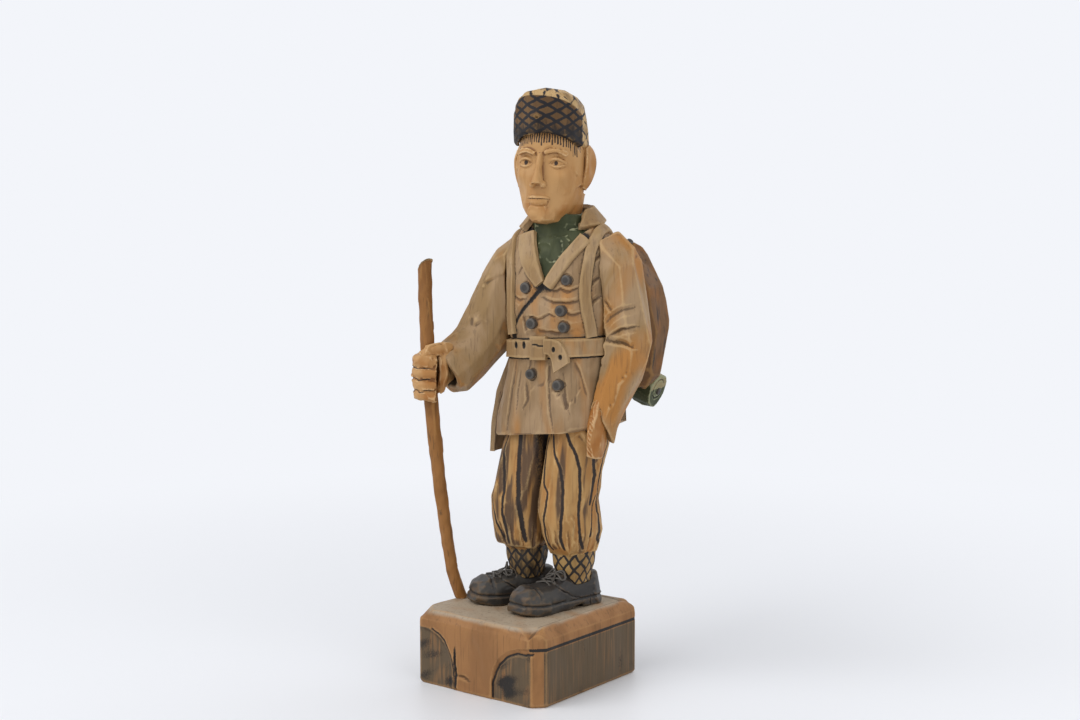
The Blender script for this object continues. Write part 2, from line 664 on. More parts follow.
def sock(side):
    form = from_solid(f"{side}_sock", 0.7, 3)
    waver = 0.07 * wander(form.points, 14, 9)
    form.mark("burn", lattice(form.points - (*FEET[side]["ankle"], 0), SOCK_RADIUS, 8.6, 11.5, 0.31, waver))
    whittle(form, 6, 1.5, 0.4, 25)
    if side == "right":
        form.mark("soot", np.clip(0.6 + 0.3 * wander(form.points, 14, 3), 0, 1))
    carved(form, f"{side}_sock", SOCKS)


# Trousers

LEFT_STRIPES = [    # the route and half width of each burnt stripe
    ([(-7.5, -16, 128), (-8.5, -20, 105), (-8.5, -23, 85), (-7, -23, 65), (-4, -19, 46)], 1.0),
    ([(-3, -20, 128), (-3, -22, 108), (-2.5, -24, 93.5), (3, -26, 87.5), (1.5, -27, 77), (-1.5, -24.5, 65),
      (-1.5, -21, 53), (3, -18, 43)], 1.3),
    ([(5, -21, 130.5), (7.5, -23, 118), (13, -24.5, 106), (15, -24.5, 94), (15.5, -26, 78.5), (14, -25, 67),
      (12.5, -24, 55), (13.5, -19.5, 44.5)], 1.4),
    ([(17, -22, 132.5), (20.5, -22.5, 124.5), (25, -21.5, 116), (26.5, -19, 106.5), (26, -17, 89.5),
      (25.5, -17.5, 72.5), (26, -17.5, 55.5), (25, -11, 46)], 1.5),
    ([(28.5, -16, 136.5), (32, -14, 126.5), (33.5, -10, 115), (31, -5, 101.5), (28.5, -5.5, 88),
      (27.5, -5.5, 78.5)], 2.0),
    ([(28, 0.5, 84), (29, -3.5, 69.5), (30, -7.5, 54)], 0.9),
    ([(33, 6, 128), (32, 5, 102.5), (30, 7, 90.5), (29, 6, 74.5), (28, 4, 50)], 1.1),
]
RIGHT_STRIPES = [
    ([(-21.5, -23, 130), (-22.5, -25, 114.5), (-22, -26.5, 97.5), (-21.5, -28, 81), (-20, -25.5, 65.5),
      (-19, -22, 48)], 2.2),
    ([(-36, -17.5, 130), (-37, -20.5, 113), (-36, -25, 102), (-34, -28.5, 85.5), (-35, -28, 68),
      (-33, -26.5, 56.5), (-33, -23, 46)], 1.5),
    ([(-46, -12, 118), (-50, -16, 98), (-48, -23.5, 81), (-44, -25.5, 68), (-40.5, -25.5, 57.5),
      (-37, -23, 47)], 1.5),
]
LEG_MIDDLES = {"left": (6.0, -1.0), "right": (-32.0, -3.0)}
CUFF_FOLDS = 16


def round_leg(side, angle, radius):
    middle = LEG_MIDDLES[side]
    return middle[0] + radius * math.sin(angle), middle[1] - radius * math.cos(angle)


def wavy_stripe(side, degrees, seed):
    """A stripe for a side that the front routes don't reach."""
    rng = np.random.default_rng(seed)
    return [(*round_leg(side, math.radians(degrees + rng.uniform(-6, 6)), 30), z)
            for z in np.linspace(130, 46, 8)]


def trouser_leg(side, stripes, hidden):
    form = from_solid(f"{side}_trouser_leg", 0.85, 5)
    if side == "right":
        form.points = press(form.points, (-52, -6, 116), (16, 26, 22), (-5.5, -0.5, 0))
    whittle(form, 14, 2.4, 1.5, 31 if side == "left" else 32, ease=4)
    for route, half in stripes:
        score(form, route, 0.8, (half + 0.4, half + 0.4), 1.0, half * 1.1, taper=0.15)
    for k, degrees in enumerate(hidden):
        score(form, wavy_stripe(side, degrees, k), 0.7, (1.6, 1.6), 1.0, 1.4, taper=0.15)
    for k in range(CUFF_FOLDS):
        foot = round_leg(side, 2 * math.pi * (k + 0.3) / CUFF_FOLDS, 26)
        score(form, [(*foot, 60), (*foot, 38)], 1.0, (2.5, 1.0), taper=0.3)
    near_split = np.exp(-((form.points[:, 0] - SPLIT_X) / 3.0) ** 2)
    form.mark("burn", near_split * 0.6)
    form.mark("fresh", np.clip(0.3 + 0.5 * streaked(form.points, 18, 7), 0, 1))
    form.mark("soot", np.clip(1.1 * streaked(form.points, 20, 17) - 0.3 + 0.8 * (side == "right"), 0, 1))
    carved(form, f"{side}_trouser_leg", TROUSERS)


# Coat

COAT_CUTS = [
    (0, 0, 131, 37, 51, 33, 29, 0.11), (0, 0, 136, 39, 52, 34.5, 30, 0.11),
    (0, 0, 159, 39, 48.5, 32, 30, 0.02), (0, 0, 187, 40, 41, 29, 28, 0.05),
    (0, 0, 201, 40, 41, 29, 28, 0.05), (0, 0, 216, 42, 42, 31, 30, 0),
    (0, 0, 242, 43, 43, 31, 31, 0), (0, 0, 258, 43, 43, 29, 31, 0), (0, 0, 268, 41, 40, 26, 27, 0),
    (0, 0, 278, 37, 34, 23, 24, 0), (0, 0, 285, 27, 25, 19, 21, 0),
]
WAIST = COAT_CUTS[3][3:7]
# Each button's place across and up
BUTTONS = [(-13, 238), (20.5, 244), (16.5, 222), (18, 210), (-8, 212), (-9, 175), (14, 168)]
BUTTON_RING = 4.3
COAT_TREE = tree_of(skin(tower(COAT_CUTS, 1.6)))
# The V at the neck: its foot, how far it opens to each side over its rise, and how deep it is pressed in
NECK_V = {"foot": (3.5, 241), "rise": 52, "left": 21, "right": 33, "deep": 6}


def on_front(x, z):
    """The place on the coat's smooth front that is this far across and up."""
    return np.array(COAT_TREE.ray_cast(Vector((x, -150, z)), Vector(BACK))[0])


def front_route(pairs):
    return [on_front(x, z) for x, z in pairs]


def v_edges(z, spare=0):
    """Where the V at the coat's neck begins and ends at a height, with something to spare."""
    x, foot = NECK_V["foot"]
    left = x - spare - NECK_V["left"] * (z - foot) / NECK_V["rise"]
    right = x + spare + NECK_V["right"] * (z - foot) / NECK_V["rise"]
    return left, right


def v_opening(x, z):
    """1 inside the V of the coat, 0 outside."""
    left, right = v_edges(z)
    inside = np.clip((x - left) / 1.2 + 0.5, 0, 1) * np.clip((right - x) / 1.2 + 0.5, 0, 1)
    return inside * (z > NECK_V["foot"][1])


CHEST_FOLDS = [    # the route, depth and widths of each fold
    ([(8, 237), (13, 236.5), (16, 238), (21.5, 236), (29, 239)], 1.8, (1.0, 6.0)),
    ([(2, 231.5), (6, 229.5), (11, 228), (20, 227.5), (29, 229.5)], 1.6, (1.0, 5.5)),
    ([(-11, 217), (-5, 215.5), (-1.5, 215.5), (6.5, 219.5), (12, 217.5)], 1.7, (1.0, 6.0)),
    ([(20, 221.5), (24, 219), (30, 221)], 1.6, (1.0, 6.0)),
    ([(-14.5, 206), (-15.5, 211), (-16, 216.5)], 1.2, (1.0, 4.0)),
    ([(-4, 207.5), (4, 206), (12, 205.5), (22, 207)], 1.0, (1.5, 4.5)),
    ([(-22.5, 247), (-18, 253), (-13, 257), (-8, 254), (-3.5, 248)], 1.2, (1.0, 3.5)),
    ([(-24, 231), (-19, 229), (-14, 230)], 1.2, (1.0, 4.0)),
    ([(40, 262), (37.5, 259), (36, 256)], 1.8, (1.5, 3.0)),
    ([(40, 246), (37.5, 243), (36, 240)], 1.8, (1.5, 3.0)),
    ([(40, 232), (37.5, 229), (36, 226)], 1.8, (1.5, 3.0)),
]
SKIRT_FOLDS = [
    ([(-10.5, 186), (-12.5, 177)], 1.0, (3.0, 1.2)),
    ([(-14, 167.5), (-12, 155.5), (-15.5, 150)], 1.2, (3.5, 1.2)),
    ([(6, 184), (6, 172), (8.5, 150.5), (11.5, 135)], 1.1, (7.0, 1.0)),
    ([(17, 178), (20.5, 157), (24, 146.5)], 1.0, (1.2, 5.0)),
    ([(24.5, 186), (29, 176.5), (33, 161)], 1.2, (1.2, 5.0)),
    ([(-26.5, 184), (-29.5, 156.5), (-32.5, 131)], 1.4, (5.0, 1.5)),
    ([(-20, 178), (-22, 160), (-22, 145)], 0.8, (4.0, 1.0)),
]
STRAP_ROUTES = {
    "right": [(-29.5, -27, 203), (-30, -26, 213.5), (-30, -27, 228), (-29.5, -27, 246.5), (-31, -20, 264),
              (-28, -8, 272), (-25, 8, 274), (-22, 22, 262), (-22, 29, 248)],
    "left": [(37, -19, 203), (36, -19.5, 209.5), (35, -23, 220.5), (33.5, -24.5, 234.5), (34.5, -23.5, 248.5),
             (34, -18, 264), (29, -7, 272), (26, 8, 274), (24, 22, 262), (24, 29, 248)],
}
STRAP_WIDTH = 8.5
BAND = {"relief": 2.4, "bevel": 0.6, "sunk": 1.5}   # how far straps and lapels stand out and reach in
LAPELS = {   # across, up and width of each lapel from the collar down
    "left": [(29.5, 274, 10), (24, 265.5, 9.5), (17, 255.5, 9), (11, 246.5, 9), (6.5, 239.5, 8)],
    "right": [(-17, 277, 15), (-15, 268, 15.5), (-10.4, 257, 14.5), (-5.2, 248, 11.5), (0, 241, 8)],
}


def dark_beside(form, route, reach):
    """The stain gathers beside whatever is laid on top along the route."""
    score(form, route, 0.0, (1, 1), 1.0, reach, taper=0)


def coat():
    form = skin(tower(COAT_CUTS, 0.85))
    p = form.points
    inside = v_opening(p[:, 0], p[:, 2]) * (p[:, 1] < 0)
    above_belt = np.clip((p[:, 2] - 200) / 3, 0, 1)
    whittle(form, 14, 2.6, 1.5, 41, ease=3, where=(1 - above_belt) + above_belt * 0.15 * (1 - inside))
    whittle(form, 7.5, 0.8, 0.9, 42, where=above_belt * (1 - inside))
    for route, deep, widths in CHEST_FOLDS:
        score(form, front_route(route), 1.25 * deep, widths, taper=0.4)
    for route, deep, widths in SKIRT_FOLDS:
        score(form, front_route(route), deep, widths, taper=0.3)
    edge = front_route([NECK_V["foot"], (-7.5, 230), (-16, 222.5), (-25.5, 211), (-30, 203)])
    score(form, edge, 2.2, (1.0, 5.0), 1.0, 2.6, taper=0.2)
    for x, z in BUTTONS:
        ring = [(x + BUTTON_RING * math.cos(a), z + BUTTON_RING * math.sin(a))
                for a in np.linspace(0, 2 * math.pi, 17)]
        score(form, front_route(ring), 0.8, (1.0, 1.0), 0.55, 0.8, taper=0)
    for route in STRAP_ROUTES.values():
        dark_beside(form, route, 6.2)
    for lane in LAPELS.values():
        dark_beside(form, front_route([place[:2] for place in lane]), 0.5 * lane[2][2] + 1.6)
    form.points[:, 1] += inside * NECK_V["deep"]
    x, _, z = form.points.T
    for height in (BELT["low"], BELT["high"]):
        form.mark("burn", np.clip(1.2 - np.abs(z - height - BELT["rise"] * x) / 1.2, 0, 1))
    chest = (z > 205) * (z < 240)
    form.mark("fresh", np.clip(0.1 + 0.45 * streaked(form.points, 26, 12) + 0.25 * chest, 0, 1))
    carved(form, "coat", COAT)


def ribbon(route):
    """A raised band laid along a route on the coat, with broken edges; the fourth value is its width."""
    rows = along(route, 0.8, 2.0)
    place, out = [], []
    for row in rows:
        spot, facing, _, _ = COAT_TREE.find_nearest(Vector(row[:3]))
        place.append(spot)
        out.append(facing)
    place, out = np.array(place), np.array(out)
    for _ in range(12):
        out[1:-1] = (out[:-2] + 2 * out[1:-1] + out[2:]) / 4
        place[1:-1] = (place[:-2] + 2 * place[1:-1] + place[2:]) / 4
    out = unit(out)
    side = unit(np.cross(unit(np.gradient(place, axis=0)), out))
    edge = [-BAND["sunk"], 0, BAND["relief"] - BAND["bevel"]]
    section = [(-1, height) for height in edge]
    section += [(share, BAND["relief"]) for share in np.linspace(-0.88, 0.88, 9)]
    section += [(1, height) for height in reversed(edge)]
    rings = []
    for k in range(len(place)):
        ring = []
        for share, height in section:
            across = share * rows[k][3] / 2
            spot = COAT_TREE.find_nearest(Vector(place[k] + side[k] * across))[0]
            ring.append(np.array(spot) + out[k] * height)
        rings.append(ring)
    return skin(np.array(rings), PLAIN)


def strap(side):
    form = ribbon([(*place, STRAP_WIDTH) for place in STRAP_ROUTES[side]])
    whittle(form, 6, 2.5, 0.35, 51)
    finished(form, f"{side}_strap", STRAP)


def lapel(side):
    form = ribbon([(*on_front(x, z), width) for x, z, width in LAPELS[side]])
    whittle(form, 8, 2.0, 0.4, 53)
    finished(form, f"{side}_lapel", STRAP)


def belt():
    low, high, rise, relief = BELT["low"], BELT["high"], BELT["rise"], BELT["relief"]
    cuts = []
    for z, out in ((low, -1.5), (low + 0.01, relief - 0.6), (low + 0.7, relief), (high - 0.7, relief),
                   (high - 0.01, relief - 0.6), (high, -1.5)):
        cuts.append((0, 0, z, *(half + out for half in WAIST), rise))
    form = skin(tower(cuts, 0.6, soften=0.3), PLAIN)
    whittle(form, 8, 0.6, 0.35, 55)
    for x, z in ((-23, 195.5), (-15, 196)):
        pit(form, on_front(x, z), (1.7, 2.9), 1.8)
    form.mark("fresh", np.clip(0.35 * (form.points[:, 0] > 8) + 0.3 * wander(form.points, 20, 3), 0, 1))
    finished(form, "belt", STRAP)


def front_plate(upper, lower, lift, thick):
    """A flat piece between an upper and a lower edge, its face this far off the coat front."""
    top, bottom = (np.array([(x, 0, z) for x, z in edge], float) for edge in (upper, lower))
    count = int(np.linalg.norm(np.diff(top, axis=0), axis=1).sum() / 0.5)
    rows = []
    for edge in (top, bottom):
        length = np.r_[0, np.cumsum(np.linalg.norm(np.diff(edge, axis=0), axis=1))]
        spots = np.linspace(0, length[-1], count)
        rows.append(np.stack([np.interp(spots, length, c) for c in edge.T], 1))
    shares = np.linspace(0, 1, 18)
    grid = np.zeros((count, len(shares), 3))
    for k in range(count):
        for j, share in enumerate(shares):
            x, _, z = rows[0][k] * (1 - share) + rows[1][k] * share
            rounding = 0.5 * (abs(2 * share - 1) > 0.93)
            grid[k, j] = on_front(x, z) - BACK * (lift - rounding)
    return plate(grid, thick, BACK)


def buckle():
    lift = 4.4
    upper = [(-8, 203), (-1, 203.2), (5.5, 203.5)]
    lower = [(-8, 185.5), (-1, 185.7), (5.5, 186)]
    form = front_plate(upper, lower, lift, 3.5)
    whittle(form, 7, 1.5, 0.3, 57)
    slit = [on_front(x, 196.5) - BACK * lift for x in (-5.5, 0, 3.5)]
    score(form, slit, 1.2, (0.9, 0.9), 1.0, 0.9, taper=0.2)
    finished(form, "belt_buckle", STRAP)


def tongue():
    lift = 4.6
    upper = [(4, 201.5), (11, 201.5), (16, 200.5), (20, 195), (22.3, 189), (22.8, 184.5)]
    lower = [(4, 190.5), (7.5, 190), (9, 188.5), (10.5, 185.5), (11.5, 181), (12.5, 177)]
    form = front_plate(upper, lower, lift, 3.2)
    whittle(form, 7, 1.2, 0.3, 59)
    for x, z in ((12, 194), (17.2, 188.5)):
        pit(form, on_front(x, z) - BACK * lift, (1.5, 2.1), 1.6)
    finished(form, "belt_tongue", STRAP)


def collar():
    """A band laid down round the neck, open in front."""
    shares = np.linspace(-1, 1, 22)
    start = 63.5 - 11.5 * shares
    angles = np.radians(start + (324 - start) * np.linspace(0, 1, 150)[:, None])
    outward = np.stack([np.sin(angles), -np.cos(angles), 0 * angles], 2)
    under = outward * np.array([24, 23, 0]) + UP * (287 - 4 * np.cos(angles))[..., None]
    under += unit(outward * 0.66 - UP * 0.75) * 7.5 * shares[None, :, None]
    over = under + unit(outward * 0.75 + UP * 0.66) * 5
    form = evened(skin(np.concatenate([over, under[:, ::-1]], axis=1), PLAIN), 0.8)
    whittle(form, 16, 1.0, 0.4, 61, grain=(1, 0, 0), ease=4)
    finished(form, "collar", STRAP)


def rear_skirt():
    """The coat's wide tail, from the right hip round the back to the left."""
    angles = np.radians(np.linspace(188, 30, 190))
    c, s = np.cos(angles), np.sin(angles)
    wave = 0.9 * np.sin(angles * 9)
    flare = 17 * (0.7 - 0.3 * c)
    hem = 131 + 16 * (0.95 * c - 0.3)
    heights = np.linspace(0, 1, 64)[:, None]
    reach = (flare + wave) * np.interp(heights, [0, 0.2, 0.4, 0.6, 0.8, 1], [1, 0.93, 0.79, 0.64, 0.24, -0.2])
    z = hem * (1 - heights) + 189 * heights
    faces = [np.stack([(46 + reach - thick) * c, (29 + reach * 0.6 - thick) * s, z], 2) for thick in (0, 4)]
    outer, inner = (face.transpose(1, 0, 2) for face in faces)
    form = skin(np.concatenate([outer, inner[:, ::-1]], axis=1), PLAIN)
    whittle(form, 12, 2.6, 1.0, 63)
    finished(form, "coat_tail", COAT)


def sweater():
    """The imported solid, with its front in the V of the coat and a high neck."""
    shares = np.linspace(0, 1, 44)
    grid = []
    for z in np.arange(239.5, 281, 0.8):
        left, right = v_edges(z, 1.5)
        grid.append([on_front(left + (right - left) * share, z) + BACK * 1.5 for share in shares])
    neck = tower([(-1, -3, 266, 26, 24, 18, 18, 0), (-1, -3, 276, 24, 22, 19, 19, 0),
                  (-1, -3, 283, 22, 20, 18.5, 18, 0), (-1, -3, 292, 19, 18, 17.5, 17, 0)])
    form = evened(together([from_solid("sweater", 0.7, 4), plate(np.array(grid), 4, BACK), skin(neck)]), 0.7)
    form.points = relaxed(form, 4)
    whittle(form, 8.5, 0.8, 1.2, 65, grain=(0.5, 0, 0.8), tilt=0.14)
    carved(form, "sweater", GREEN)


# Arms and hands

ELBOW_CUTS = [    # the route, depth and widths of each fold
    ([(43, -14, 213), (48, -13, 218), (55.5, -11, 222.5), (64, -3.5, 225)], 3.0, (3.0, 5.0)),
    ([(46, -12, 204), (55.5, -10.5, 209.5), (65, -4.5, 211)], 3.2, (1.0, 4.5)),
    ([(42, -11, 200), (54.5, -11.5, 198.5), (65, -6.5, 195)], 3.2, (4.5, 1.0)),
    ([(42, -14, 229), (44, -13, 226.5), (48, -13, 221.5)], 1.5, (3.0, 1.0)),
]


def inside_cuff(form, middle, radius):
    """The inside of a cuff is dark."""
    gap = np.array(middle, float) - form.points
    far = np.linalg.norm(gap, axis=1)
    facing = np.einsum("ij,ij->i", form.normals(), gap) / np.maximum(far, 1e-6)
    form.mark("soot", (far < radius) * np.clip(facing * 3, 0, 1))


def left_sleeve():
    form = from_solid("left_sleeve", 0.9, 8, 0.9)
    x, _, z = form.points.T
    form.points[:, 0] -= 3.5 * np.clip((186 - z) / 18, 0, 1) * np.clip((x - 44) / 10, 0, 1)
    above_cuff = np.clip((z - 138) / 12, 0.2, 1)
    whittle(form, 18, 2.4, 2.0, 71, tilt=0.06, where=above_cuff, ease=3)
    for route, deep, widths in ELBOW_CUTS:
        score(form, route, deep, widths, taper=0.5)
    x, _, z = form.points.T
    outer_forearm = np.clip((195 - z) / 9, 0, 1) * np.clip((x - 43) / 5, 0, 1)
    form.mark("fresh", np.clip(0.35 + 0.45 * streaked(form.points, 26, 4) + 0.45 * outer_forearm, 0, 1))
    inside_cuff(form, (37, -15, 144), 13)
    carved(form, "left_sleeve", SLEEVE)


def right_sleeve():
    form = from_solid("right_sleeve", 0.9, 8, 0.9)
    whittle(form, 19, 1.5, 2.0, 73, grain=(-0.5, -0.3, -0.8), tilt=0.06, ease=5)
    underside = form.normals()[:, 2] < -0.3
    form.mark("fresh", np.clip(0.05 + 0.35 * streaked(form.points, 30, 5) + 0.3 * underside, 0, 1))
    inside_cuff(form, (-79.5, -41, 174), 17)
    carved(form, "right_sleeve", SLEEVE)


FIST = np.array([-82.4, -54.0, 0.0])      # the stick's middle inside the fist
FIST_SIDE = np.array([0.85, 0.53, 0.0])   # from there towards the cuff
FIST_FRONT = np.array([0.53, -0.85, 0.0])
FINGERS = [    # the height, half thickness and extra reach of each
    (157.9, 3.9, -1.0), (166.2, 4.1, -0.2), (175.0, 4.5, 0.2), (184.0, 4.6, -0.2),
]


def at_fist(side, front, up):
    return FIST + FIST_SIDE * side + FIST_FRONT * front + UP * up


def right_hand():
    """Four fingers curled round the stick from the back, the thumb over the top, and the palm."""
    parts = []
    for height, half, reach in FINGERS:
        curl = [(5, -9.5, 1, 4.2), (-4, -10, 0.6, 4.4), (-9.6 - reach, -5, 0.4, 4.4),
                (-9.8 - reach, 2, 0, 4.2), (-6.4, 7.6 + reach / 2, -0.4, 4.1),
                (0, 9.6 + reach / 2, -0.5, 4.0), (5.4, 8.6, -0.2, 3.7)]
        route = [(*at_fist(a, b, height + lift), deep, half) for a, b, lift, deep in curl]
        parts.append(skin(limb(route, 0.7, 2.0)))
    thumb = [(15, -9, 189, 6), (11.5, -2, 191.8, 5.2), (5, 4.5, 192.2, 4.9), (-1, 7.6, 190.6, 4.5),
             (-6, 8, 188.6, 3.4)]
    parts.append(skin(limb([(*at_fist(a, b, z), r, r - 0.4) for a, b, z, r in thumb], 0.7, 2.0, blunt=0.8)))
    palm = [(9.5, -5, 192, 5, 8), (10.6, -2.5, 184, 4.6, 8.4), (10.4, -2.5, 172, 4.2, 7.8),
            (7.5, -5, 160, 3.5, 6)]
    parts.append(skin(limb([(*at_fist(a, b, z), w, d) for a, b, z, w, d in palm], 0.7, 2.5, FIST_FRONT, 0.8)))
    back = [(17, -23, 182, 9, 9.5), (11.5, -13, 178.5, 7, 12.5), (3, -9.6, 174.5, 5, 16.5),
            (-5, -8.4, 173.5, 4, 17)]
    parts.append(skin(limb([(*at_fist(a, b, z), w, d) for a, b, z, w, d in back], 0.7, 2.5, blunt=0.8)))
    form = evened(together(parts), 0.55)
    whittle(form, 7, 1.4, 0.8, 75, grain=FIST_SIDE)
    for height in (162.0, 170.6, 179.4):
        gap = [(-4, -14), (-13, -6), (-14, 2), (-9, 11), (0, 13.5), (6, 12)]
        crease = [at_fist(a, b, height - 0.2 * k) for k, (a, b) in enumerate(gap)]
        score(form, crease, 0.9, (1.3, 1.3), 0.8, 1.0, taper=0.3)
    form.mark("fresh", np.clip(0.35 + 0.35 * wander(form.points, 18, 4), 0, 1))
    carved(form, "right_hand", SKIN)


def left_hand():
    form = from_solid("left_hand", 0.6, 4)
    whittle(form, 9, 2.0, 0.6, 77)
    low, high = form.points.min(0), form.points.max(0)
    front = low[1] - 5
    for share in np.linspace(0.12, 0.8, 9):
        z = low[2] + share * (high[2] - low[2])
        score(form, [(low[0], front, z), ((low[0] + high[0]) / 2 + 2, front, z - 7)], 0.8, (0.5, 1.8))
    form.mark("fresh", np.clip(0.8 + 0.2 * wander(form.points, 12, 2), 0, 1))
    carved(form, "left_hand", SKIN)


# Stick

STICK_ROUTE = [    # the fourth value is half its width
    (-72.7, -27, 0, 4.8), (-77.5, -32, 18, 5.0), (-80.3, -36, 46, 5.4), (-82, -41, 80, 5.3),
    (-83.2, -47, 122, 5.7), (-82.6, -52.5, 158, 5.8), (-82.2, -55, 183, 5.4), (-83, -57.3, 213, 5.4),
    (-82, -59.5, 240, 5.6), (-82, -60, 260, 5.4),
]


def walking_stick():
    """Crooked, cut off at a slant on top and level on the base."""
    form = skin(limb([(x, y, z, r, r - 0.6) for x, y, z, r in STICK_ROUTE], 0.7, 5, BACK), 0.8)
    slant = unit(np.array([-0.6, 0.2, 0.77]))
    over = (form.points - np.array([-81, -60, 255])) @ slant
    form.points -= np.clip(over, 0, None)[:, None] * slant
    form.points[:, 2] = np.maximum(form.points[:, 2], 0)
    form.points += form.normals() * (0.35 * wander(form.points, 16, 5))[:, None]
    whittle(form, 4.5, 5.0, 0.4, 81)
    form.mark("fresh", (over > -0.4) * 1.0)
    form.mark("burn", np.clip(wander(form.points, 28, 8) - 0.75, 0, 0.5))
    carved(form, "walking_stick", STICK)


# Head and cap, worked out upright and then turned and leaned

def leaned_by(angle):
    """The matrix of a lean to the side."""
    c, s = math.cos(angle), math.sin(angle)
    return np.array([[c, 0, s], [0, 1, 0], [-s, 0, c]])


HEAD_TURN = leaned_by(HEAD["lean"]) @ turned_by(HEAD["turn"])


def to_head(points):
    return (points - HEAD["place"]) @ HEAD_TURN


def from_head(points):
    return points @ HEAD_TURN.T + HEAD["place"]


HEAD_CUTS = [
    (0, 0, 0, 11, 11, 21, 10, 0), (0, 0, 7, 18.5, 18.5, 24, 20, 0), (0, 0, 17, 22, 22, 24, 21, 0),
    (0, 0, 31, 24.5, 24.5, 24.5, 25, 0), (0, 0, 43, 25, 25, 23.5, 28, 0), (0, 0, 53, 24.5, 24.5, 25, 28, 0),
    (0, 0, 70, 23, 23, 23, 27, 0), (0, 0, 84, 15, 15, 14, 19, 0),
]
UPPER_LID = [(5.6, -20.6, 43.0), (8.5, -22.3, 45.6), (12, -22.4, 46.3), (15.5, -20.6, 45.2),
             (18.2, -17.4, 42.8)]
LOWER_LID = [(6.0, -20.4, 42.6), (9, -21.6, 40.7), (12.5, -21.5, 40.2), (16, -19.6, 41.2),
             (18.2, -17.4, 42.4)]
BROW = [(4.2, -24.6, 49.6), (9, -25.2, 51.6), (14, -23.4, 51.8), (19, -18.6, 49.4)]


def tube(route, half, side=1):
    """A thin round roll along a route, such as a lip or an eyelid; side -1 mirrors it."""
    return skin(limb([(x * side, y, z, half, half) for x, y, z in route], 0.6, 1.5, BACK))


def hair_strokes(local):
    """Burnt strokes of hair: a fringe under the cap, sides down to the ears, and the nape."""
    apart = 2.0
    strand = angle_round(local) * HEAD["radius"] / apart + 0.12 * wander(local, 9, 3)
    which = np.floor(strand)
    chance = np.abs(np.sin(which * 12.9898) * 437.58) % 1
    line = np.clip((0.34 - np.abs(strand - which - 0.5)) / 0.1, 0, 1)
    angle = np.abs(angle_round(local))
    ends = np.where(angle < 0.6, 54.5 + 2.5 * chance, np.where(angle < 1.0, 57 - 6 * chance, 46 + 8 * chance))
    ends = np.where(angle > 1.9, 33 + 5 * chance, ends)
    shown = (angle < 1.42) | (angle > 1.9)
    return line * np.clip(local[:, 2] - ends, 0, 1) * shown * (local[:, 2] < 68)


